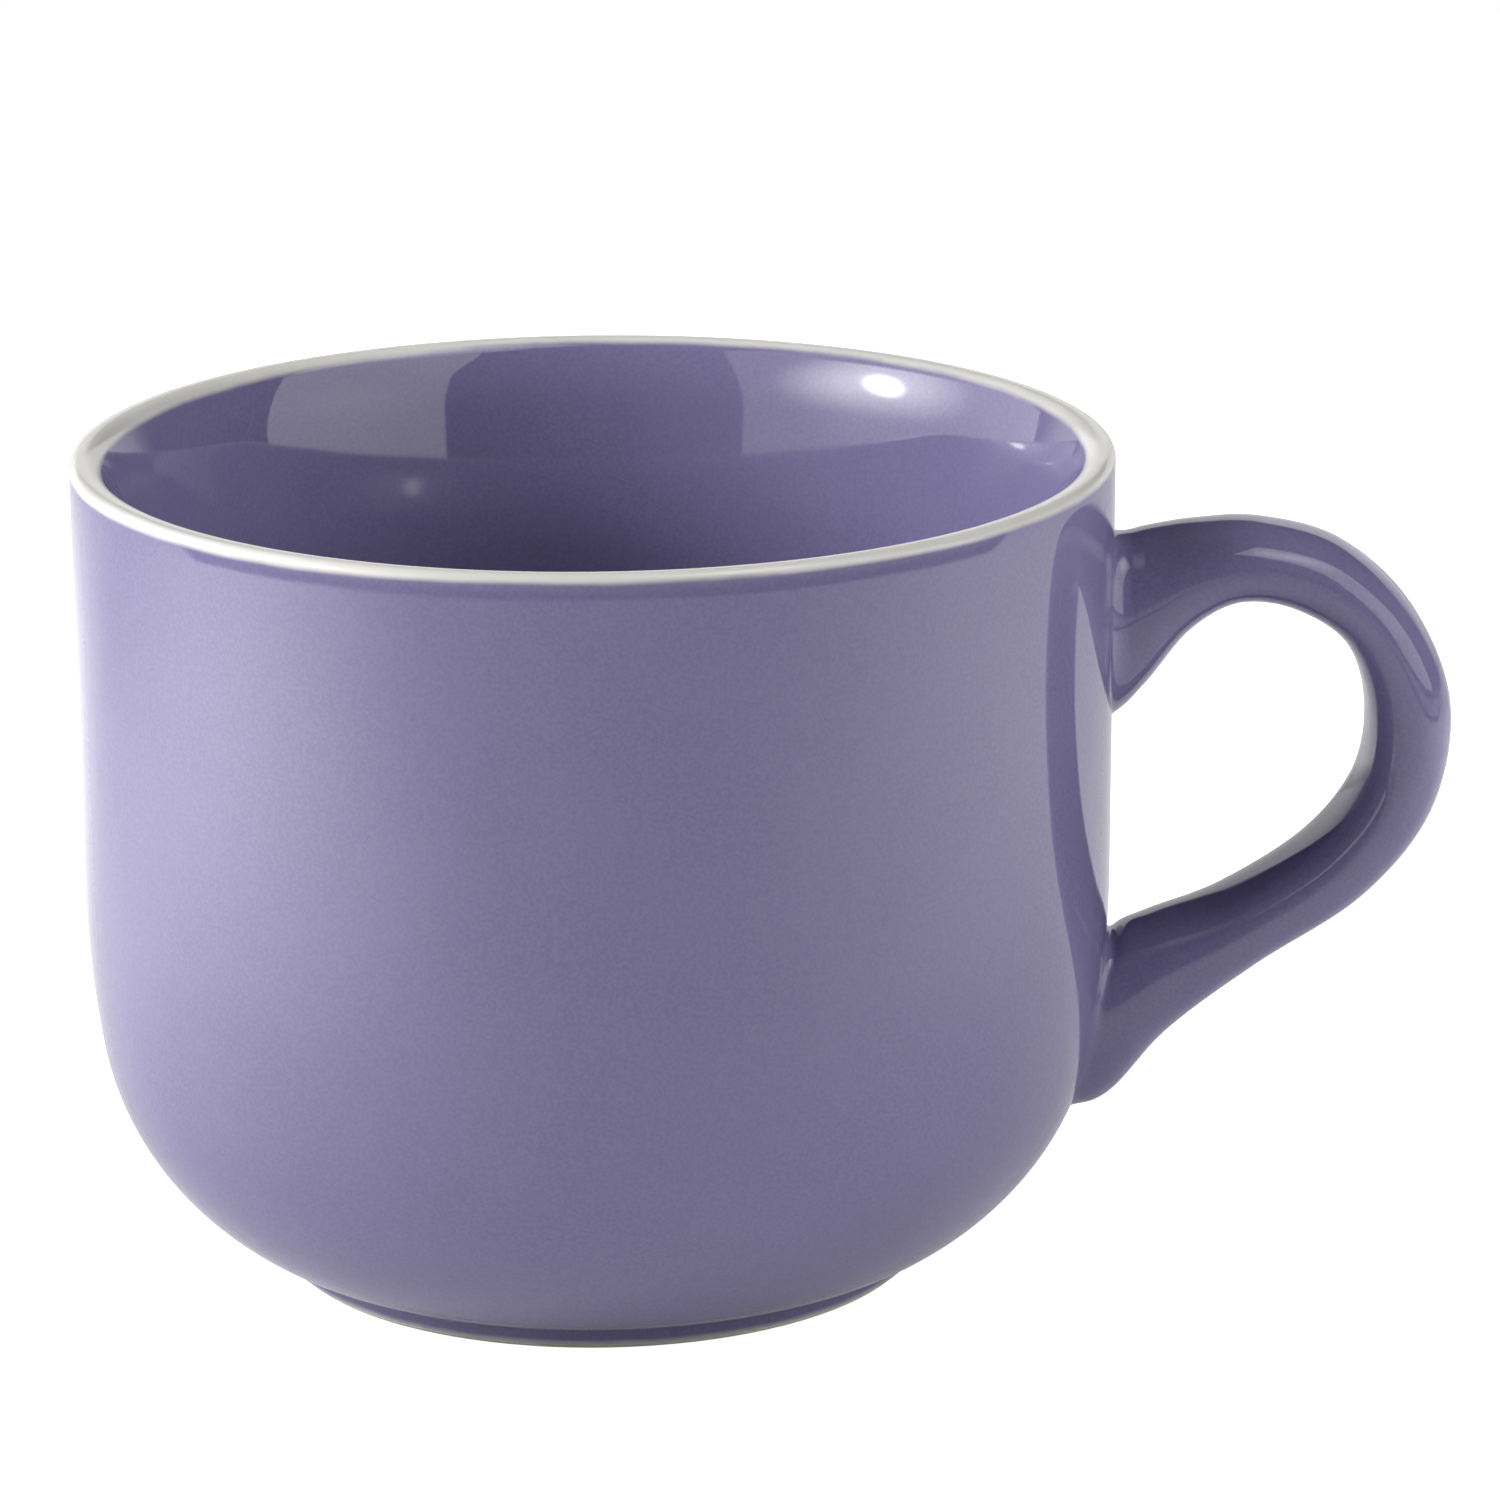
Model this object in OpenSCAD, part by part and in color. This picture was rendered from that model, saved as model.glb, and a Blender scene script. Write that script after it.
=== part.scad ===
// Soup mug: a turned clay bowl, a loop handle luted to its side, and the glazes that coat them.
// Millimetres. The bowl's axis is Z, the foot rests on Z = 0 and the handle points along +X.

/* [Bowl] */
// Outside diameter at the lip, over the glaze
rim_d = 115; // [100:1:130]
// Overall height, over the glaze on the lip
height = 92.3; // [84:0.1:102]
// How much narrower the belly is than the lip, on the radius
belly_inset = 0.3; // [0:0.1:1]
// Radius of the long curve below the belly
belly_curve_r = 120; // [100:5:160]
// Angle through which the long curve turns in
belly_turn_angle = 9; // [6:0.5:11]
// Radius of the tight curve above the foot
corner_r = 31; // [28:0.5:34]
// Angle below level at which the tight curve ends
corner_end_angle = 64; // [58:1:68]

/* [Lip] */
// Rounding of the lip's outer edge
lip_outer_r = 0.5; // [0.3:0.1:0.8]
// Width of the lip's flat top
lip_flat_w = 0.6; // [0.2:0.1:1.2]
// Rounding of the lip's inner edge
lip_inner_r = 1.7; // [1.2:0.1:2.2]
// Lean of the inner wall at the end of that rounding, where the white band stops
lip_lean_angle = 31; // [26:1:36]
// Angle on the outer rounding at which the white band starts
band_start_angle = 30; // [15:5:60]

/* [Inner wall] */
// Radius of the throat below the lip
throat_r = 19; // [15:1:24]
// Lean of the wall at the end of the throat
throat_lean_angle = 13; // [12:0.5:15]
// Radius of the taper below the throat
taper_r = 150; // [120:5:180]
// Lean of the wall at the end of the taper
taper_lean_angle = 9.5; // [8.5:0.5:11]
// Radius of the curve that ends the taper
taper_end_r = 60; // [40:5:80]
// Lean of the wall from there down to the floor's curve
wall_lean_angle = 1; // [0.5:0.25:1.5]
// Radius of the curve between the inner wall and the floor
inside_corner_r = 25; // [22:1:28]
// Thickness of the clay floor
floor_t = 5; // [4:0.1:6.5]

/* [Foot] */
// Height of the bowl's underside above the table
foot_h = 3.3; // [2.8:0.1:4.5]
// How far the foot ring is set in from the end of the tight curve
foot_step = 2; // [1.6:0.1:3]
// Width of the foot ring
foot_w = 4.5; // [3.5:0.1:6]
// Depth of the recess inside the foot ring
recess_h = 2.6; // [2.1:0.1:2.9]
// Radius of the coves beside the foot ring
cove_r = 1.2; // [0.9:0.1:1.5]
// Rounding where the tight curve meets the underside
edge_r = 1; // [0.6:0.1:1.4]
// Height of the bare clay left at the bottom of the foot ring
dry_h = 0.7; // [0.5:0.1:1]
// Size of the eased edges on the foot ring
ease = 0.3; // [0.2:0.1:0.4]

/* [Handle] */
// How far the handle stands out from the wall
handle_reach = 37.8; // [33:0.1:43]
// How far below the lip the upper root's top meets the wall
upper_root_drop = 10.9; // [10:0.1:16]
// Height at which the lower root's bottom meets the wall
lower_root_z = 16.1; // [13:0.1:19]
// Height of the upper root on the wall
upper_root_h = 19.5; // [17:0.1:23]
// Height of the lower root on the wall
lower_root_h = 19.1; // [16:0.1:22]
// Thickness of the handle where it is gripped, over its glaze
grip_t = 9.3; // [7.5:0.1:11]
// Width of the handle across the mug, over its glaze
handle_w = 17; // [14:0.5:20]
// Squareness of the handle's oval, where 2 is an ellipse
handle_power = 2.5; // [2:0.1:3]
// How far the slip joints spread over the wall around the roots
joint_flare = 1; // [0.8:0.1:2]

/* [Glaze] */
// Thickness of every glaze coat
glaze_t = 0.5; // [0.3:0.05:0.6]

/* [Hidden] */
$fn = 360;
// Largest turn between two points of a curve
arc_step = 5;
// Points around the handle and steps between two of its stations
handle_sides = 28;
handle_steps = 4;
lilac = "#8a83a8";
clay = "#e9e3d5";
white = "#efece3";

// Clay radii and levels, one glaze coat under the visible ones
rim_r = rim_d / 2 - glaze_t;
belly_r = rim_r - belly_inset;
lip_z = height - glaze_t;
floor_z = recess_h + floor_t;

// Centres of the outside curves, from the foot's edge up to the belly
edge_z = foot_h + edge_r;
corner_z = edge_z + (corner_r - edge_r) * sin(corner_end_angle);
belly_z = corner_z + (belly_curve_r - corner_r) * sin(belly_turn_angle);
belly_c = [belly_r - belly_curve_r, belly_z];
corner_c = belly_c + (belly_curve_r - corner_r) * [cos(belly_turn_angle), -sin(belly_turn_angle)];
edge_c = corner_c + (corner_r - edge_r) * [cos(corner_end_angle), -sin(corner_end_angle)];
lip_outer_c = [rim_r - lip_outer_r, lip_z - lip_outer_r];
lip_inner_c = [lip_outer_c[0] - lip_flat_w, lip_z - lip_inner_r];
foot_r = edge_c[0] - foot_step;
foot_inner_r = foot_r - foot_w;

// Centres of the inside curves, from the lip down to the floor. A lean a faces the way facing(a).
function facing(a) = [-cos(a), sin(a)];
throat_c = lip_inner_c + (lip_inner_r - throat_r) * facing(lip_lean_angle);
taper_c = throat_c + (throat_r - taper_r) * facing(throat_lean_angle);
taper_end_c = taper_c + (taper_r - taper_end_r) * facing(taper_lean_angle);
taper_end = taper_end_c + taper_end_r * facing(wall_lean_angle);
inside_z = floor_z + inside_corner_r;
wall_foot_z = inside_z - inside_corner_r * sin(wall_lean_angle);
wall_foot_r = taper_end[0] - (taper_end[1] - wall_foot_z) * tan(wall_lean_angle);
inside_c = [wall_foot_r - inside_corner_r * cos(wall_lean_angle), inside_z];

// Points of an arc about c, with and without its last point
function arc_start(c, r, from, to) =
    let (n = ceil(abs(to - from) / arc_step))
    [for (i = [0:n - 1]) let (a = from + (to - from) * i / n) c + r * [cos(a), sin(a)]];
function arc(c, r, from, to) = concat(arc_start(c, r, from, to), [c + r * [cos(to), sin(to)]]);
function reversed(list) = [for (i = [len(list) - 1:-1:0]) list[i]];
function mean(list) = [for (p = list) 1 / len(list)] * list;
function tail(list) = [for (i = [1:len(list) - 1]) list[i]];

// The four stretches of the bowl's outline, each a distance g outside the clay
function outside_line(g) = concat(
    [[foot_r + g, dry_h]],
    arc(([foot_r, foot_h] + cove_r * [1, -1]), cove_r - g, 180, 90),
    arc_start(edge_c, edge_r + g, -90, -corner_end_angle),
    arc_start(corner_c, corner_r + g, -corner_end_angle, -belly_turn_angle),
    arc(belly_c, belly_curve_r + g, -belly_turn_angle, 0),
    arc(lip_outer_c, lip_outer_r + g, 0, band_start_angle));
function rim_line(g) = concat(
    arc(lip_outer_c, lip_outer_r + g, band_start_angle, 90),
    arc(lip_inner_c, lip_inner_r + g, 90, 180 - lip_lean_angle));
function inside_line(g) = concat(
    arc_start(throat_c, throat_r + g, 180 - lip_lean_angle, 180 - throat_lean_angle),
    arc_start(taper_c, taper_r + g, 180 - throat_lean_angle, 180 - taper_lean_angle),
    arc(taper_end_c, taper_end_r + g, 180 - taper_lean_angle, 180 - wall_lean_angle),
    arc(inside_c, inside_corner_r - g, -wall_lean_angle, -90),
    [[0, floor_z + g]]);
function base_line(g) = concat(
    [[foot_inner_r - g, dry_h]],
    arc(([foot_inner_r, recess_h] - cove_r * [1, 1]), cove_r - g, 0, 90),
    [[0, recess_h - g]]);

// Radius of the glazed outside at height z
function on_curve(c, r, z) = c[0] + sqrt(max(r * r - (z - c[1]) * (z - c[1]), 0));
function outside_r(z) =
    z > belly_z ? belly_r + glaze_t + belly_inset * (z - belly_z) / (height - belly_z) :
    z > belly_z - belly_curve_r * sin(belly_turn_angle) ? on_curve(belly_c, belly_curve_r + glaze_t, z) :
    on_curve(corner_c, corner_r + glaze_t, z);

// Smooth curve through the rows of a list, met at t = 0, 1, 2 and so on
function along(rows, t) =
    let (
        i = min(floor(t), len(rows) - 2),
        u = t - i,
        a = rows[max(i - 1, 0)],
        b = rows[i],
        c = rows[i + 1],
        d = rows[min(i + 2, len(rows) - 1)])
    b + u / 2 * (c - a + u * (2 * a - 5 * b + 4 * c - d + u * (3 * b - a - 3 * c + d)));

// The glazed handle's stations from the upper root to the lower one. Each row holds the place of its
// outer edge, as shares of the reach out from the wall and of the rise between the roots, then the way
// from there to the inner edge in degrees, and the thickness as a share of the grip's. The second row
// from each end lies just under the wall's glaze and the end rows deep in the clay.
handle_rise = height - upper_root_drop - lower_root_z;
lower_root = [outside_r(lower_root_z + lower_root_h) - outside_r(lower_root_z), lower_root_h];
lower_way = atan2(lower_root[1], lower_root[0]) - 360;
handle_shares = [
    [-0.160, 1.000, -90, upper_root_h / grip_t],
    [-0.004, 1.000, -90, upper_root_h / grip_t],
    [0.112, 1.014, -92, 1.83],
    [0.253, 1.024, -96, 1.26],
    [0.445, 1.024, -109, 0.96],
    [0.680, 0.984, -131, 0.95],
    [0.886, 0.873, -157, 0.91],
    [1.000, 0.710, -180, 1.01],
    [0.954, 0.528, -203, 0.98],
    [0.757, 0.377, -223, 0.92],
    [0.454, 0.254, -246, 0.92],
    [0.214, 0.131, -265, 1.41],
    [0.106, 0.017, -277, 2.10],
    [-0.004, 0.000, lower_way, norm(lower_root) / grip_t],
    [-0.160, 0.000, lower_way, norm(lower_root) / grip_t]];
last_station = len(handle_shares) - 1;
// Stations, counted from each end, that a slip joint covers
joint_stations = 2;
far_joint = last_station - joint_stations;

// One ring of the handle at t, a distance grow outside its clay. Radii are taken about the bowl's
// axis, so that the rings at the roots lie square on the round wall.
function bulge(v) = sign(v) * pow(abs(v), 2 / handle_power);
function handle_ring(t, grow) =
    let (
        s = along(handle_shares, t),
        z = lower_root_z + s[1] * handle_rise,
        edge = [outside_r(z) + s[0] * handle_reach, z],
        half = s[3] * grip_t / 2,
        way = [cos(s[2]), sin(s[2])])
    [for (i = [0:handle_sides - 1])
        let (
            a = 360 * i / handle_sides,
            p = edge + way * (half - (half - glaze_t + grow) * bulge(cos(a))),
            y = (handle_w / 2 - glaze_t + grow) * bulge(sin(a)))
        [sqrt(p[0] * p[0] - y * y), y, p[1]]];

// The handle between two stations, and the slip joint's flare between its end and the wall
function stations(from, to) =
    let (n = handle_steps * abs(to - from))
    [for (i = [0:n]) from + (to - from) * i / n];
function flare(t) =
    let (off = min(max(t - 1, 0), 1))
    glaze_t + joint_flare * (1 - sqrt(1 - (1 - off) * (1 - off)));
function handle_rings(from, to, grow) = [for (t = stations(from, to)) handle_ring(t, grow)];
function upper_flare() = [for (t = stations(0, joint_stations)) handle_ring(t, flare(t))];
function lower_flare() =
    [for (t = stations(far_joint, last_station)) handle_ring(t, flare(last_station - t))];

// Solid through a list of rings, closed by its ends or, if looped, back onto its first ring
module skin(rings, looped = false) {
    m = len(rings[0]);
    n = len(rings);
    points = [for (ring = rings) each ring];
    middles = [mean(rings[0]), mean(rings[n - 1])];
    sides = [for (k = [0:n - (looped ? 1 : 2)], i = [0:m - 1])
        let (a = k * m, b = (k + 1) % n * m, j = (i + 1) % m)
        each [[a + i, a + j, b + j], [a + i, b + j, b + i]]];
    ends = looped ? [] : [for (i = [0:m - 1])
        let (j = (i + 1) % m, last = (n - 1) * m)
        each [[n * m, j, i], [n * m + 1, last + i, last + j]]];
    polyhedron(concat(points, looped ? [] : middles), concat(sides, ends), convexity = 6);
}

// A glaze coat turned about the axis, lying between the clay and its own outer line
module coat(clay_line, glaze_line) {
    rotate_extrude() polygon(concat(glaze_line, reversed(clay_line)));
}

// The bowl filled up to the lip, which trims what is fixed to its wall
module bowl_blank() {
    line = outside_line(0);
    rotate_extrude() polygon(concat([[0, dry_h]], line, [[0, line[len(line) - 1][1]]]));
}

module bowl() {
    color(clay) rotate_extrude() polygon(concat(
        [[foot_inner_r + ease, 0], [foot_r - ease, 0], [foot_r, ease]],
        outside_line(0),
        tail(rim_line(0)),
        tail(inside_line(0)),
        reversed(base_line(0)),
        [[foot_inner_r, ease]]));
}

module handle() {
    color(clay) difference() {
        skin(handle_rings(0, last_station, 0));
        bowl_blank();
    }
}

module upper_slip_joint() {
    color(lilac) difference() {
        skin(concat(upper_flare(), handle_rings(joint_stations, 0, 0)), looped = true);
        bowl_blank();
    }
}

module lower_slip_joint() {
    color(lilac) difference() {
        skin(concat(lower_flare(), handle_rings(last_station, far_joint, 0)), looped = true);
        bowl_blank();
    }
}

module outside_glaze() {
    color(lilac) difference() {
        coat(outside_line(0), outside_line(glaze_t));
        skin(upper_flare());
        skin(lower_flare());
    }
}

module inside_glaze() {
    color(lilac) coat(inside_line(0), inside_line(glaze_t));
}

module rim_glaze() {
    color(white) coat(rim_line(0), rim_line(glaze_t));
}

module handle_glaze() {
    color(lilac) skin(concat(
        handle_rings(joint_stations, far_joint, glaze_t),
        handle_rings(far_joint, joint_stations, 0)), looped = true);
}

module base_glaze() {
    color(lilac) coat(base_line(0), base_line(glaze_t));
}

bowl();
handle();
upper_slip_joint();
lower_slip_joint();
outside_glaze();
inside_glaze();
rim_glaze();
handle_glaze();
base_glaze();
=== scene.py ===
import math

import bmesh
import bpy
from mathutils import Matrix, Vector


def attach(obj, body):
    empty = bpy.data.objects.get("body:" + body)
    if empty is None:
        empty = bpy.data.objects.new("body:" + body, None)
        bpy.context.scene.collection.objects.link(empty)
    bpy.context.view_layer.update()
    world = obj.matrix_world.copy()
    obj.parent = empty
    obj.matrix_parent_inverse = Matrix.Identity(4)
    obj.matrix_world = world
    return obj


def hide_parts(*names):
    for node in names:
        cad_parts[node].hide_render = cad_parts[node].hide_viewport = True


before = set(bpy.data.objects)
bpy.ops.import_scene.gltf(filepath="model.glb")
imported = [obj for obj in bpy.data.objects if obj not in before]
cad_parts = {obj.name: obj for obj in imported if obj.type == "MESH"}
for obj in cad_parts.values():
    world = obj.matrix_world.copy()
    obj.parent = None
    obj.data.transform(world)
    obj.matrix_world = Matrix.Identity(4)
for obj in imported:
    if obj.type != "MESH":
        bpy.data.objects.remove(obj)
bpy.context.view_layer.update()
print("frame loaded:", ", ".join(sorted(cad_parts)))

mm = 0.001  # shapes are in millimetres, as the potter's drawing has them; the studio is in metres


def clearSelection():
    if bpy.context.mode != "OBJECT":
        bpy.ops.object.mode_set(mode="OBJECT")
    bpy.ops.object.select_all(action="DESELECT")


def bend(centre, radius, start, stop, step=3.0):
    count = max(1, math.ceil(abs(stop - start) / step))
    angles = [math.radians(start + (stop - start) * i / count) for i in range(count + 1)]
    return [(centre[0] + radius * math.cos(a), centre[1] + radius * math.sin(a)) for a in angles]


def facing(lean):
    # from an inner curve's centre towards the axis, leaning up
    return -math.cos(math.radians(lean)), math.sin(math.radians(lean))


def below(angle):
    # from an outer curve's centre away from the axis, pointing down
    return math.cos(math.radians(angle)), -math.sin(math.radians(angle))


def tangentCentre(centre, radius, newRadius, direction):
    return tuple(c + (radius - newRadius) * d for c, d in zip(centre, direction))


def spaced(line, longest):
    # splits the long straights, so that the turned skin has even rings
    out = [line[0]]
    for a, b in zip(line, line[1:]):
        count = max(1, math.ceil(math.dist(a, b) / longest))
        out += [(a[0] + (b[0] - a[0]) * i / count, a[1] + (b[1] - a[1]) * i / count)
                for i in range(1, count + 1)]
    return out


def without(line, nearest=0.004):
    # drops points that fall on each other
    out = [line[0]]
    for p in line[1:]:
        if math.dist(p, out[-1]) > nearest:
            out.append(p)
    return out


shot = {"lens": 168.0, "sensor": 36.0, "pitch": 0.27669, "roll": -0.00613, "turn": 1.0,
        "offset": (-16.748, 55.341, 795.56), "clipStart": 0.05}


def viewAxes(s):
    # rows: right, down and forward of the camera, in the mug's frame
    sp, cp = math.sin(s["pitch"]), math.cos(s["pitch"])
    tilt = Matrix(((1, 0, 0), (0, -sp, -cp), (0, cp, -sp)))
    sr, cr = math.sin(s["roll"]), math.cos(s["roll"])
    roll = Matrix(((cr, -sr, 0), (sr, cr, 0), (0, 0, 1)))
    return roll @ tilt @ Matrix.Rotation(math.radians(s["turn"]), 3, "Z")


def makeCamera(s):
    axes = viewAxes(s)
    place = -(axes.transposed() @ Vector(s["offset"])) * mm
    right, up, back = axes[0], -axes[1], -axes[2]
    bpy.ops.object.camera_add()
    cam = bpy.context.active_object
    cam.name = "photoCamera"
    cam.data.lens = s["lens"]
    cam.data.sensor_width = s["sensor"]
    cam.data.sensor_fit = "HORIZONTAL"
    cam.data.clip_start = s["clipStart"]
    cam.matrix_world = Matrix(((right.x, up.x, back.x, place.x), (right.y, up.y, back.y, place.y),
                               (right.z, up.z, back.z, place.z), (0, 0, 0, 1)))
    bpy.context.scene.camera = cam


clearSelection()
makeCamera(shot)
print("camera set")


def newFinish(name):
    mat = bpy.data.materials.new(name)
    mat.use_nodes = True
    tree = mat.node_tree
    shader = tree.nodes["Principled BSDF"]
    coords = tree.nodes.new("ShaderNodeTexCoord")
    return mat, tree, shader, coords


def noise(tree, coords, scale, detail=2.0, rough=0.5):
    n = tree.nodes.new("ShaderNodeTexNoise")
    n.inputs["Scale"].default_value = scale
    n.inputs["Detail"].default_value = detail
    n.inputs["Roughness"].default_value = rough
    tree.links.new(coords.outputs["Object"], n.inputs["Vector"])
    return n.outputs["Fac"]


def ranged(tree, value, low, high, toLow=0.0, toHigh=1.0):
    n = tree.nodes.new("ShaderNodeMapRange")
    n.interpolation_type = "SMOOTHSTEP"
    n.inputs["From Min"].default_value = low
    n.inputs["From Max"].default_value = high
    n.inputs["To Min"].default_value = toLow
    n.inputs["To Max"].default_value = toHigh
    tree.links.new(value, n.inputs["Value"])
    return n.outputs["Result"]


def sums(tree, how, a, b):
    n = tree.nodes.new("ShaderNodeMath")
    n.operation = how
    for socket, v in zip(n.inputs, (a, b)):
        if isinstance(v, (int, float)):
            socket.default_value = v
        else:
            tree.links.new(v, socket)
    return n.outputs[0]


def tint(tree, amount, a, b):
    n = tree.nodes.new("ShaderNodeMix")
    n.data_type = "RGBA"
    tree.links.new(amount, n.inputs["Factor"])
    for socket, v in ((n.inputs[6], a), (n.inputs[7], b)):
        if isinstance(v, tuple):
            socket.default_value = (*v, 1.0)
        else:
            tree.links.new(v, socket)
    return n.outputs[2]


def vectorSum(tree, how, vector, other=None):
    n = tree.nodes.new("ShaderNodeVectorMath")
    n.operation = how
    tree.links.new(vector, n.inputs[0])
    if other is not None:
        n.inputs[1].default_value = other
    return n.outputs["Value" if how in ("DISTANCE", "LENGTH", "DOT_PRODUCT") else "Vector"]


def parted(tree, vector):
    n = tree.nodes.new("ShaderNodeSeparateXYZ")
    tree.links.new(vector, n.inputs[0])
    return n.outputs


def uneven(tree, shader, height, strength, depth):
    n = tree.nodes.new("ShaderNodeBump")
    n.inputs["Strength"].default_value = strength
    n.inputs["Distance"].default_value = depth
    tree.links.new(height, n.inputs["Height"])
    tree.links.new(n.outputs["Normal"], shader.inputs["Normal"])


glazeLook = {"lilac": (0.176, 0.158, 0.295), "lilacDeep": (0.168, 0.150, 0.285), "lilacPale": (0.206, 0.187, 0.329),
             "white": (0.69, 0.68, 0.65), "whiteDeep": (0.66, 0.645, 0.61),
             "cloudScale": 70.0, "cloudRange": (0.35, 0.65),
             "speckScale": 2600.0, "speckRange": (0.36, 0.64), "speckShare": 0.55,
             # the white's lower edge in millimetres up the lip, and where in metres it rises or hangs
             "lipLine": 91.50, "lipSoft": 0.34, "lipWander": 0.3, "wanderScale": 130.0,
             "lipBack": 0.38, "lipBackFrom": (0.008, 0.05), "lipHang": 0.34, "lipHangFrom": (-0.036, -0.006),
             "footLine": 0.95, "footSoft": 0.35, "footWander": 0.5, "footBare": 0.75,
             "roughness": 0.045, "smearScale": 420.0, "smearRange": (0.3, 0.7), "smear": (0.8, 1.3), "ior": 1.5,
             "peelScale": 160.0, "peelStrength": 0.25, "peelDepth": 0.00004}


def glazeFinish(name, look):
    mat, tree, shader, coords = newFinish(name)
    # cloudy depth and fine specks in the lilac
    cloud = ranged(tree, noise(tree, coords, look["cloudScale"], 3.0), *look["cloudRange"])
    body = tint(tree, cloud, look["lilac"], look["lilacDeep"])
    speck = ranged(tree, noise(tree, coords, look["speckScale"]), *look["speckRange"])
    body = tint(tree, sums(tree, "MULTIPLY", speck, look["speckShare"]), body, look["lilacPale"])
    # the white of the lip, with a slightly wandering edge
    place = parted(tree, coords.outputs["Object"])
    height = sums(tree, "MULTIPLY", place["Z"], 1 / mm)
    wander = sums(tree, "SUBTRACT", noise(tree, coords, look["wanderScale"], 3.0, 0.6), 0.5)
    edge = sums(tree, "ADD", height, sums(tree, "MULTIPLY", wander, look["lipWander"]))
    # the band is narrow at the back and hangs a little lower on one side
    edge = sums(tree, "SUBTRACT", edge, ranged(tree, place["Y"], *look["lipBackFrom"], 0.0, look["lipBack"]))
    edge = sums(tree, "SUBTRACT", edge, ranged(tree, place["X"], *look["lipHangFrom"], -look["lipHang"], 0.0))
    lip = ranged(tree, edge, look["lipLine"] - look["lipSoft"], look["lipLine"] + look["lipSoft"])
    body = tint(tree, lip, body, tint(tree, cloud, look["white"], look["whiteDeep"]))
    # the glaze runs thin over the dry foot
    low = sums(tree, "ADD", height, sums(tree, "MULTIPLY", wander, look["footWander"]))
    foot = ranged(tree, low, look["footLine"] - look["footSoft"], look["footLine"] + look["footSoft"],
                  look["footBare"], 0.0)
    body = tint(tree, foot, body, look["whiteDeep"])
    tree.links.new(body, shader.inputs["Base Color"])
    rough = ranged(tree, noise(tree, coords, look["smearScale"]), *look["smearRange"],
                   *(look["roughness"] * share for share in look["smear"]))
    tree.links.new(rough, shader.inputs["Roughness"])
    shader.inputs["IOR"].default_value = look["ior"]
    # a fired glaze lies a little uneven
    uneven(tree, shader, noise(tree, coords, look["peelScale"]), look["peelStrength"], look["peelDepth"])
    return mat


clayLook = {"clay": (0.74, 0.70, 0.61), "grit": (0.60, 0.55, 0.46),
            "grainScale": 2600.0, "grainRange": (0.45, 0.75), "grainShare": 0.55,
            "cloudScale": 160.0, "cloudRange": (0.4, 0.7), "cloudShare": 0.35,
            "roughness": (0.66, 0.80), "roughRange": (0.3, 0.7), "pitStrength": 0.5, "pitDepth": 0.00006}


def clayFinish(name, look):
    mat, tree, shader, coords = newFinish(name)
    grain = noise(tree, coords, look["grainScale"], 4.0, 0.65)
    cloud = noise(tree, coords, look["cloudScale"], 3.0)
    mixed = sums(tree, "ADD", sums(tree, "MULTIPLY", ranged(tree, grain, *look["grainRange"]), look["grainShare"]),
                 sums(tree, "MULTIPLY", ranged(tree, cloud, *look["cloudRange"]), look["cloudShare"]))
    tree.links.new(tint(tree, mixed, look["clay"], look["grit"]), shader.inputs["Base Color"])
    rough = ranged(tree, grain, *look["roughRange"], *look["roughness"])
    tree.links.new(rough, shader.inputs["Roughness"])
    uneven(tree, shader, grain, look["pitStrength"], look["pitDepth"])
    return mat


lilacGlaze = glazeFinish("lilacGlaze", glazeLook)
whiteGlaze = glazeFinish("whiteGlaze", {**glazeLook, "roughness": 0.06})
bareClay = clayFinish("bareClay", clayLook)
for clayNode in ("bowl", "handle"):
    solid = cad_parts[clayNode]
    solid.data.materials.clear()
    solid.data.materials.append(bareClay)
print("finishes mixed")


wheel = {"rim": 57.5, "height": 92.3, "bellyInset": 0.3, "bellyCurve": 120.0, "bellyTurn": 9.0,
         "corner": 31.0, "cornerEnd": 64.0, "lipOuter": 0.5, "lipFlat": 0.6, "lipInner": 1.7, "lipLean": 31.0,
         "bandStart": 30.0, "throat": 19.0, "throatLean": 13.0, "taper": 150.0, "taperLean": 9.5,
         "taperEnd": 60.0, "wallLean": 1.0, "insideCorner": 25.0, "floor": 5.0,
         "footHeight": 3.3, "footStep": 2.0, "footWidth": 4.5, "recess": 2.6, "cove": 1.2, "edge": 1.0,
         "dry": 0.7, "glaze": 0.5, "turns": 224, "ring": 2.0, "lipRing": 0.5,
         "weld": 0.002, "sliver": 0.0005, "crease": 38.0}


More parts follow.
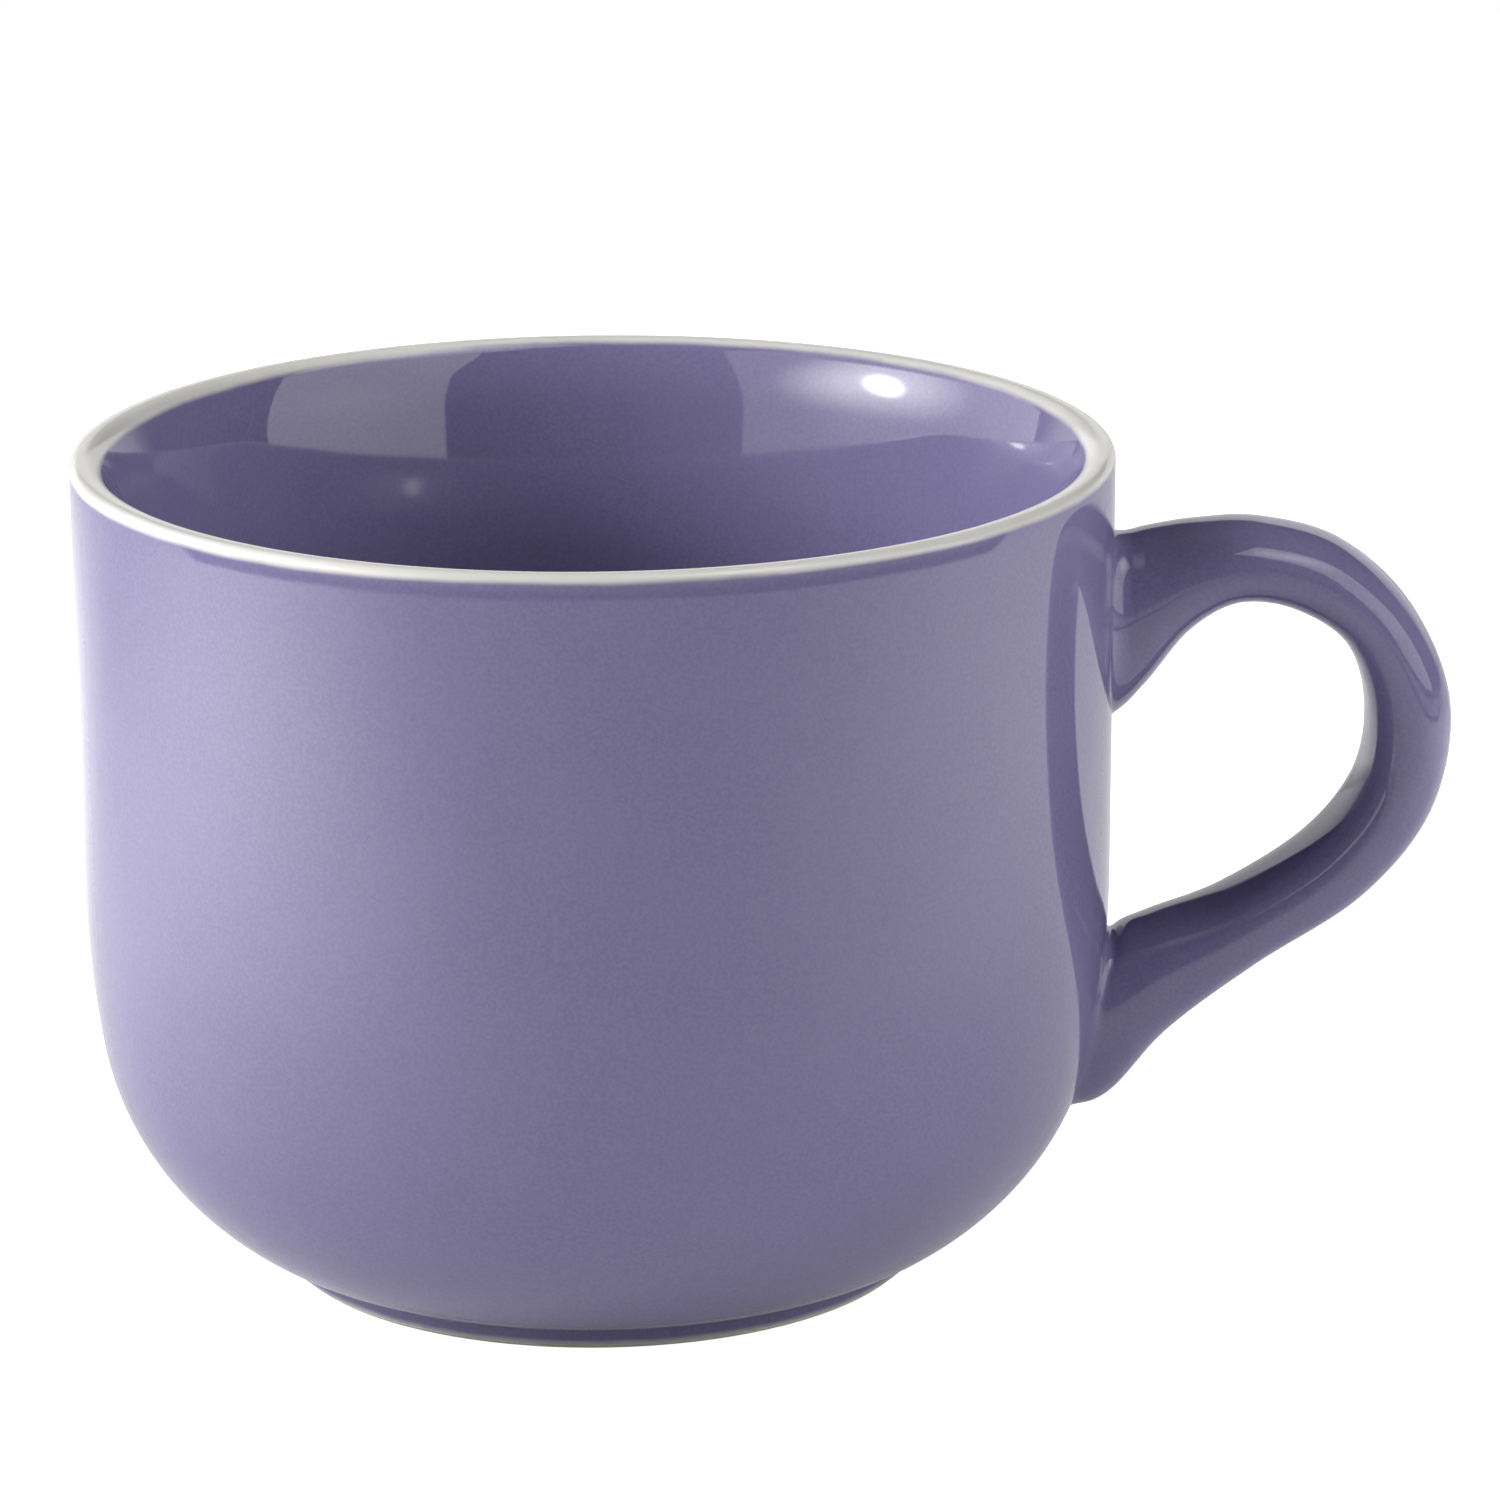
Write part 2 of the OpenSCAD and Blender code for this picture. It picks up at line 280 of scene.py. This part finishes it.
def turnedLines(w):
    # outlines of the clay and, a glaze thickness outside it, of the four coats
    clayRim, clayTop = w["rim"] - w["glaze"], w["height"] - w["glaze"]
    belly = clayRim - w["bellyInset"]
    bellyTurn, cornerEnd, lean = (math.radians(w[k]) for k in ("bellyTurn", "cornerEnd", "wallLean"))
    cornerZ = w["footHeight"] + w["edge"] + (w["corner"] - w["edge"]) * math.sin(cornerEnd)
    bellyZ = cornerZ + (w["bellyCurve"] - w["corner"]) * math.sin(bellyTurn)
    bellyC = (belly - w["bellyCurve"], bellyZ)
    cornerC = tangentCentre(bellyC, w["bellyCurve"], w["corner"], below(w["bellyTurn"]))
    edgeC = tangentCentre(cornerC, w["corner"], w["edge"], below(w["cornerEnd"]))
    footR = edgeC[0] - w["footStep"]
    footIn = footR - w["footWidth"]
    lipOut = (clayRim - w["lipOuter"], clayTop - w["lipOuter"])
    lipIn = (lipOut[0] - w["lipFlat"], clayTop - w["lipInner"])
    throatC = tangentCentre(lipIn, w["lipInner"], w["throat"], facing(w["lipLean"]))
    taperC = tangentCentre(throatC, w["throat"], w["taper"], facing(w["throatLean"]))
    taperEndC = tangentCentre(taperC, w["taper"], w["taperEnd"], facing(w["taperLean"]))
    wallTop = tuple(c + w["taperEnd"] * f for c, f in zip(taperEndC, facing(w["wallLean"])))
    floorZ = w["recess"] + w["floor"]
    insideZ = floorZ + w["insideCorner"]
    wallFootZ = insideZ - w["insideCorner"] * math.sin(lean)
    wallFootR = wallTop[0] - (wallTop[1] - wallFootZ) * math.tan(lean)
    insideC = (wallFootR - w["insideCorner"] * math.cos(lean), insideZ)

    def outside(g):
        return ([(footR + g, w["dry"])]
                + bend((footR + w["cove"], w["footHeight"] - w["cove"]), w["cove"] - g, 180, 90, 10)
                + bend(edgeC, w["edge"] + g, -90, -w["cornerEnd"], 4)
                + bend(cornerC, w["corner"] + g, -w["cornerEnd"], -w["bellyTurn"], 2)
                + bend(bellyC, w["bellyCurve"] + g, -w["bellyTurn"], 0, 0.75)
                + bend(lipOut, w["lipOuter"] + g, 0, w["bandStart"], 6))

    def rim(g):
        return (bend(lipOut, w["lipOuter"] + g, w["bandStart"], 90, 6)
                + bend(lipIn, w["lipInner"] + g, 90, 180 - w["lipLean"], 5))

    def inside(g):
        return (bend(throatC, w["throat"] + g, 180 - w["lipLean"], 180 - w["throatLean"], 1.5)
                + bend(taperC, w["taper"] + g, 180 - w["throatLean"], 180 - w["taperLean"], 0.25)
                + bend(taperEndC, w["taperEnd"] + g, 180 - w["taperLean"], 180 - w["wallLean"], 0.75)
                + bend(insideC, w["insideCorner"] - g, -w["wallLean"], -90, 3)
                + [(0.0, floorZ + g)])

    def base(g):
        return ([(footIn - g, w["dry"])]
                + bend((footIn - w["cove"], w["recess"] - w["cove"]), w["cove"] - g, 0, 90, 10)
                + [(0.0, w["recess"] - g)])

    def outsideR(z):
        # radius of the glazed outside at a height
        def onCurve(c, r):
            return c[0] + math.sqrt(max(r * r - (z - c[1]) ** 2, 0.0))
        if z > bellyZ:
            return belly + w["glaze"] + w["bellyInset"] * (z - bellyZ) / (w["height"] - bellyZ)
        if z > bellyZ - w["bellyCurve"] * math.sin(bellyTurn):
            return onCurve(bellyC, w["bellyCurve"] + w["glaze"])
        return onCurve(cornerC, w["corner"] + w["glaze"])

    return {"outside": outside, "rim": rim, "inside": inside, "base": base, "outsideR": outsideR}


def turnCoat(name, line, longest, finish, replaced):
    # the coat's section is drawn point by point and spun round the wheel's axis
    outer = spaced(without(line(wheel["glaze"])), longest)
    inner = spaced(without(line(0.0)), longest * 2)
    section = outer + inner[::-1]
    clearSelection()
    bpy.ops.mesh.primitive_plane_add(size=mm)
    coat = bpy.context.active_object
    coat.name = coat.data.name = name
    bpy.ops.object.mode_set(mode="EDIT")
    bpy.ops.mesh.select_all(action="SELECT")
    bpy.ops.mesh.merge(type="CENTER")
    here = (0.0, 0.0)
    for i, p in enumerate(section):
        step = ((p[0] - here[0]) * mm, 0.0, (p[1] - here[1]) * mm)
        if i == 0:
            bpy.ops.transform.translate(value=step)
        else:
            bpy.ops.mesh.extrude_vertices_move(TRANSFORM_OT_translate={"value": step})
        here = p
    bm = bmesh.from_edit_mesh(coat.data)
    bm.verts.ensure_lookup_table()
    ends = (0, len(bm.verts) - 1)
    for v in bm.verts:
        v.select = v.index in ends
    bm.select_flush_mode()
    bpy.ops.mesh.edge_face_add()  # joins the section's two ends
    bpy.ops.mesh.select_all(action="SELECT")
    bpy.ops.mesh.spin(steps=wheel["turns"], angle=2 * math.pi, center=(0, 0, 0), axis=(0, 0, 1))
    bpy.ops.mesh.select_all(action="SELECT")
    bpy.ops.mesh.remove_doubles(threshold=wheel["weld"] * mm)
    bpy.ops.mesh.dissolve_degenerate(threshold=wheel["sliver"] * mm)
    bpy.ops.mesh.select_all(action="SELECT")
    bpy.ops.mesh.normals_make_consistent(inside=False)
    bpy.ops.object.mode_set(mode="OBJECT")
    bpy.ops.object.shade_smooth_by_angle(angle=math.radians(wheel["crease"]))
    coat.data.materials.append(finish)
    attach(coat, "root")
    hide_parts(replaced)
    print("turned", name, len(coat.data.vertices), "points")


lines = turnedLines(wheel)
turnCoat("outsideCoat", lines["outside"], wheel["ring"], lilacGlaze, "outside_glaze")
turnCoat("rimCoat", lines["rim"], wheel["lipRing"], whiteGlaze, "rim_glaze")
turnCoat("insideCoat", lines["inside"], wheel["ring"], lilacGlaze, "inside_glaze")
turnCoat("baseCoat", lines["base"], wheel["ring"], lilacGlaze, "base_glaze")


# the handle's coat, drawn from wall to wall over both luted joints
loop = {"reach": 37.75, "upperDrop": 10.9, "lowerZ": 16.1, "upperRoot": 19.5, "lowerRoot": 19.1, "grip": 9.3,
        "width": 17.0, "squareness": 2.5, "around": 72, "between": 9, "rootRings": 16, "crease": 50.0,
        # how far each joint's slip spreads on the wall: outer edge, sides, inner edge
        "upperFlare": (0.8, 1.6, 0.3), "lowerFlare": (0.8, 1.4, 1.6), "flareLength": 0.6}


def loopStations(s):
    # outer edge out from the wall and up between the roots, way to the inner edge in degrees, thickness
    lowZ, lowH = s["lowerZ"], s["lowerRoot"]
    dx = lines["outsideR"](lowZ + lowH) - lines["outsideR"](lowZ)
    lowWay = math.degrees(math.atan2(lowH, dx)) - 360
    upper, lower = s["upperRoot"] / s["grip"], math.hypot(dx, lowH) / s["grip"]
    return [(-0.160, 1.000, -90, upper), (-0.004, 1.000, -90, upper), (0.112, 1.014, -92, 1.83),
            (0.253, 1.024, -96, 1.26), (0.445, 1.024, -109, 0.96), (0.680, 0.984, -131, 0.95),
            (0.886, 0.873, -157, 0.91), (1.000, 0.710, -180, 1.01), (0.954, 0.528, -203, 0.98),
            (0.757, 0.377, -223, 0.92), (0.454, 0.254, -246, 0.92), (0.214, 0.131, -265, 1.41),
            (0.106, 0.017, -277, 2.10), (-0.004, 0.000, lowWay, lower), (-0.160, 0.000, lowWay, lower)]


def alongStations(rows, t):
    # a smooth curve through the stations
    i = min(int(math.floor(t)), len(rows) - 2)
    u = t - i
    a, b, c, d = rows[max(i - 1, 0)], rows[i], rows[i + 1], rows[min(i + 2, len(rows) - 1)]
    return [q + u / 2 * (r - p + u * (2 * p - 5 * q + 4 * r - w + u * (3 * q - p - 3 * r + w)))
            for p, q, r, w in zip(a, b, c, d)]


def loopRing(s, rows, t, flare, share):
    out, up, way, thick = alongStations(rows, t)
    rise = wheel["height"] - s["upperDrop"] - s["lowerZ"]
    z = s["lowerZ"] + up * rise
    edge = (lines["outsideR"](z) + out * s["reach"], z)
    half = thick * s["grip"] / 2
    toward = (math.cos(math.radians(way)), math.sin(math.radians(way)))
    ring = []
    for i in range(s["around"]):
        a = 2 * math.pi * i / s["around"]
        bulge = [math.copysign(abs(v) ** (2 / s["squareness"]), v) for v in (math.cos(a), math.sin(a))]
        across = half - (half + share * flare[0 if bulge[0] > 0 else 2]) * bulge[0]
        r, h = edge[0] + toward[0] * across, edge[1] + toward[1] * across
        y = (s["width"] / 2 + share * flare[1]) * bulge[1]
        ring.append(Vector((math.sqrt(r * r - y * y), y, h)) * mm)  # lies round the wall
    return ring


def loopRings(s):
    rows = loopStations(s)
    last = len(rows) - 1
    # close rings where the joint spreads on the wall
    steps = [1 + (i / s["rootRings"]) ** 2 for i in range(s["rootRings"])]
    plain = [2 + i / s["between"] for i in range((last - 4) * s["between"] + 1)]
    rings = []
    for t in steps + plain + [last - q for q in reversed(steps)]:
        off = min(max((min(t, last - t) - 1) / s["flareLength"], 0.0), 1.0)
        share = 1 - math.sqrt(1 - (1 - off) ** 2)
        rings.append(loopRing(s, rows, t, s["upperFlare"] if t < last / 2 else s["lowerFlare"], share))
    return rings


def drawHandle(name, s):
    rings = loopRings(s)
    clearSelection()
    bpy.ops.mesh.primitive_circle_add(vertices=s["around"], radius=s["width"] / 2 * mm)
    coat = bpy.context.active_object
    coat.name = coat.data.name = name
    bpy.ops.object.mode_set(mode="EDIT")
    bpy.ops.mesh.select_all(action="SELECT")
    bm = bmesh.from_edit_mesh(coat.data)
    order = bm.verts.layers.int.new("order")
    for i, v in enumerate(bm.verts):
        v[order] = i

    def lay(ring):
        bm = bmesh.from_edit_mesh(coat.data)
        layer = bm.verts.layers.int["order"]
        for v in bm.verts:
            if v.select:
                v.co = ring[v[layer]]
        bmesh.update_edit_mesh(coat.data)

    lay(rings[0])
    bpy.ops.mesh.edge_face_add()  # the end that lies in the wall
    for ring in rings[1:]:
        bpy.ops.mesh.extrude_region_move()
        lay(ring)
    bpy.ops.mesh.select_all(action="SELECT")
    bpy.ops.mesh.normals_make_consistent(inside=False)
    bpy.ops.object.mode_set(mode="OBJECT")
    coat.data.attributes.remove(coat.data.attributes["order"])
    bpy.ops.object.shade_smooth_by_angle(angle=math.radians(s["crease"]))
    coat.data.materials.append(lilacGlaze)
    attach(coat, "root")
    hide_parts("handle_glaze", "upper_slip_joint", "lower_slip_joint")
    print("drawn", name, len(coat.data.vertices), "points")


drawHandle("handleCoat", loop)


studio = {"room": 0.02, "sweep": 0.8, "sweepTop": 14.0, "sweepSoft": 0.02, "sweepSides": (0.68, 0.84),
          "sweepBounce": 0.45, "floorSize": 8.0, "floorEnd": 0.8, "floorTone": 0.75, "floorGloss": 0.06,
          "floorGlow": (0.88, 1.0), "glowFrom": (0.2, 0.8), "paintedPoolBounce": 0.38,
          # painted shade: only in reflections the paper turns dark in a ring round the front, which shows in the
          # glaze under the lip
          "shadeRingRadius": 0.396, "shadeRingSoft": 0.007, "shadeRingWidth": 0.05, "shadeRingBehind": 1.2,
          # painted light pools: patches of the paper before the lamps glow of themselves; way, distance, radius and
          # brightness in the glaze
          "paintedPools": ((-74, 0.30, 0.27, 2.7), (-150, 0.25, 0.22, 0.6), (82, 0.32, 0.34, 1.0))}
aim = Vector((0.0, 0.0, 0.055))

# soft cloths round the mug: way to their middle, distance, then width, bottom and top as shares of it
lamps = {"keyCloth": {"way": (-87, 0), "away": 0.95, "width": 2.30, "low": 0.0, "high": 1.2,
                      "edge": 1.5, "peak": 2.2},
         "keyTop": {"way": (-87, 0), "away": 0.95, "width": 2.30, "low": 1.2, "high": 2.0,
                    "edge": 1.4, "peak": 1.45, "only": "sheen"},
         "keyGlow": {"way": (-79, 0), "away": 0.94, "width": 1.40, "low": 0.08, "high": 1.12,
                     "edge": 0.0, "peak": 8.8},
         "keyBulb": {"way": (-82, 29.5), "away": 0.92, "width": 0.26, "low": -0.14, "high": 0.14,
                     "edge": 0.0, "peak": 46.0},
         "fillCloth": {"way": (66, 0), "away": 0.95, "width": 0.975, "low": 0.0, "high": 0.80,
                       "edge": 2.07, "peak": 2.6},
         "fillTop": {"way": (66, 38), "away": 1.2163, "width": 0.7615, "low": 0.0112, "high": 1.0,
                     "edge": 1.2, "peak": 1.3},
         "fillSheen": {"way": (66, 38), "away": 1.2170, "width": 0.7615, "low": 0.0112, "high": 1.0,
                       "edge": 0.87, "peak": 3.2, "only": "sheen"},
         "backFill": {"way": (120, 24), "away": 1.0, "width": 0.5, "low": -0.2, "high": 0.2,
                      "edge": 3.2, "peak": 3.8, "only": "light"}}


def fromCamera(azimuth, elevation):
    # a way out from the mug, counted to the right of the camera's own side
    a, e = math.radians(azimuth), math.radians(elevation)
    flat = Matrix.Rotation(-math.radians(shot["turn"]), 3, "Z") @ Vector((math.sin(a), -math.cos(a), 0.0))
    return Vector((flat.x * math.cos(e), flat.y * math.cos(e), math.sin(e)))


def softbox(name, s):
    bpy.ops.object.light_add(type="AREA")
    lamp = bpy.context.active_object
    lamp.name = name
    lamp.visible_camera = False
    lamp.visible_diffuse = s.get("only") != "sheen"  # the far top of a cloth only shows as sheen
    lamp.visible_glossy = s.get("only") != "light"  # light with no sheen of its own, as from a far wall
    out = fromCamera(*s["way"])
    turned = out.to_track_quat("Z", "Y")
    width, height = s["width"] * s["away"], (s["high"] - s["low"]) * s["away"]
    lamp.data.shape = "RECTANGLE"
    lamp.data.size, lamp.data.size_y = width, height
    lamp.location = aim + (out + turned @ Vector((0.0, (s["low"] + s["high"]) / 2, 0.0))) * s["away"]
    lamp.rotation_euler = turned.to_euler()
    lamp.data.energy = width * height * math.pi * s["peak"]  # the cloth is then as bright as written
    # brightest in the middle
    lamp.data.use_nodes = True
    tree = lamp.data.node_tree
    across = tree.nodes.new("ShaderNodeNewGeometry").outputs["Parametric"]
    off = vectorSum(tree, "DISTANCE", vectorSum(tree, "MULTIPLY", across, (1.0, 1.0, 0.0)), (0.5, 0.5, 0.0))
    fade = ranged(tree, off, 0.0, 0.5, 1.0, s["edge"] / s["peak"])
    tree.links.new(fade, tree.nodes["Emission"].inputs["Strength"])


def mirrored(tree, path):
    return sums(tree, "MAXIMUM", path.outputs["Is Glossy Ray"], path.outputs["Is Transmission Ray"])


def makeFloor(s):
    clearSelection()
    bpy.ops.mesh.primitive_plane_add(size=s["floorSize"], location=(0.0, s["floorEnd"] - s["floorSize"] / 2, 0.0))
    bpy.ops.object.transform_apply(location=True, rotation=False, scale=False)
    floor = bpy.context.active_object
    floor.name = "paleFloor"
    mat = bpy.data.materials.new("paleFloor")
    mat.use_nodes = True
    tree = mat.node_tree
    tree.nodes.clear()
    out = tree.nodes.new("ShaderNodeOutputMaterial")
    paper = tree.nodes.new("ShaderNodeBsdfDiffuse")
    paper.inputs["Color"].default_value = (s["floorTone"],) * 3 + (1.0,)
    path = tree.nodes.new("ShaderNodeLightPath")
    glossy = mirrored(tree, path)
    place = tree.nodes.new("ShaderNodeTexCoord").outputs["Object"]
    paintedPools = s["floorGloss"]
    for azimuth, away, radius, bright in s["paintedPools"]:
        off = vectorSum(tree, "DISTANCE", place, fromCamera(azimuth, 0) * away)
        paintedPools = sums(tree, "ADD", ranged(tree, off, 0.0, radius, bright, 0.0), paintedPools)
    # painted light: the pools glow in reflections, and a share of that glow lights the mug as if bounced off the
    # paper
    sheen = sums(tree, "MULTIPLY", paintedPools, sums(tree, "MAXIMUM", glossy, s["paintedPoolBounce"]))
    # the paper looks white to the camera, a little less so round the mug, where its shadow falls
    far = vectorSum(tree, "LENGTH", place)
    white = sums(tree, "MULTIPLY", path.outputs["Is Camera Ray"], ranged(tree, far, *s["glowFrom"], *s["floorGlow"]))
    glow = tree.nodes.new("ShaderNodeEmission")
    tree.links.new(sums(tree, "MAXIMUM", white, sheen), glow.inputs["Strength"])
    both = tree.nodes.new("ShaderNodeAddShader")
    tree.links.new(paper.outputs[0], both.inputs[0])
    tree.links.new(glow.outputs[0], both.inputs[1])
    # the painted dark ring lies further off behind the mug
    behind = sums(tree, "MULTIPLY", sums(tree, "MAXIMUM", parted(tree, place)["Y"], 0.0), s["shadeRingBehind"])
    off = sums(tree, "SUBTRACT", far, behind)
    start, soft, wide = s["shadeRingRadius"], s["shadeRingSoft"], s["shadeRingWidth"]
    paintedShadeRing = sums(tree, "MULTIPLY", ranged(tree, off, start - soft, start + soft),
                ranged(tree, off, start + wide / 2, start + wide * 2, 1.0, 0.0))
    # the ring is painted shade, shown to reflected rays only
    dark = tree.nodes.new("ShaderNodeEmission")
    dark.inputs["Strength"].default_value = s["room"]
    pick = tree.nodes.new("ShaderNodeMixShader")
    tree.links.new(sums(tree, "MULTIPLY", paintedShadeRing, glossy), pick.inputs[0])
    tree.links.new(both.outputs[0], pick.inputs[1])
    tree.links.new(dark.outputs[0], pick.inputs[2])
    tree.links.new(pick.outputs[0], out.inputs["Surface"])
    floor.data.materials.append(mat)


def makeWorld(s):
    # a white sweep behind the mug and a dark room round it
    world = bpy.data.worlds.new("studioRoom")
    bpy.context.scene.world = world
    world.use_nodes = True
    tree = world.node_tree
    sky = tree.nodes["Background"]
    way = tree.nodes.new("ShaderNodeTexCoord").outputs["Generated"]
    behind = ranged(tree, vectorSum(tree, "DOT_PRODUCT", way, fromCamera(180, 0)), *s["sweepSides"])
    top = math.sin(math.radians(s["sweepTop"]))
    under = ranged(tree, parted(tree, way)["Z"], top - s["sweepSoft"], top + s["sweepSoft"], 1.0, 0.0)
    path = tree.nodes.new("ShaderNodeLightPath")
    level = sums(tree, "MAXIMUM", sums(tree, "MULTIPLY", mirrored(tree, path), s["sweep"]), s["sweepBounce"])
    sweep = sums(tree, "MULTIPLY", sums(tree, "MULTIPLY", behind, under), level)
    lit = sums(tree, "MAXIMUM", sums(tree, "ADD", sweep, s["room"]), path.outputs["Is Camera Ray"])
    tree.links.new(lit, sky.inputs["Strength"])
    sky.inputs["Color"].default_value = (1.0, 1.0, 1.0, 1.0)


clearSelection()
for lampName, lampValues in lamps.items():
    softbox(lampName, lampValues)
makeFloor(studio)
makeWorld(studio)
bpy.context.scene.view_settings.view_transform = "Standard"
print("studio lit")

clearSelection()
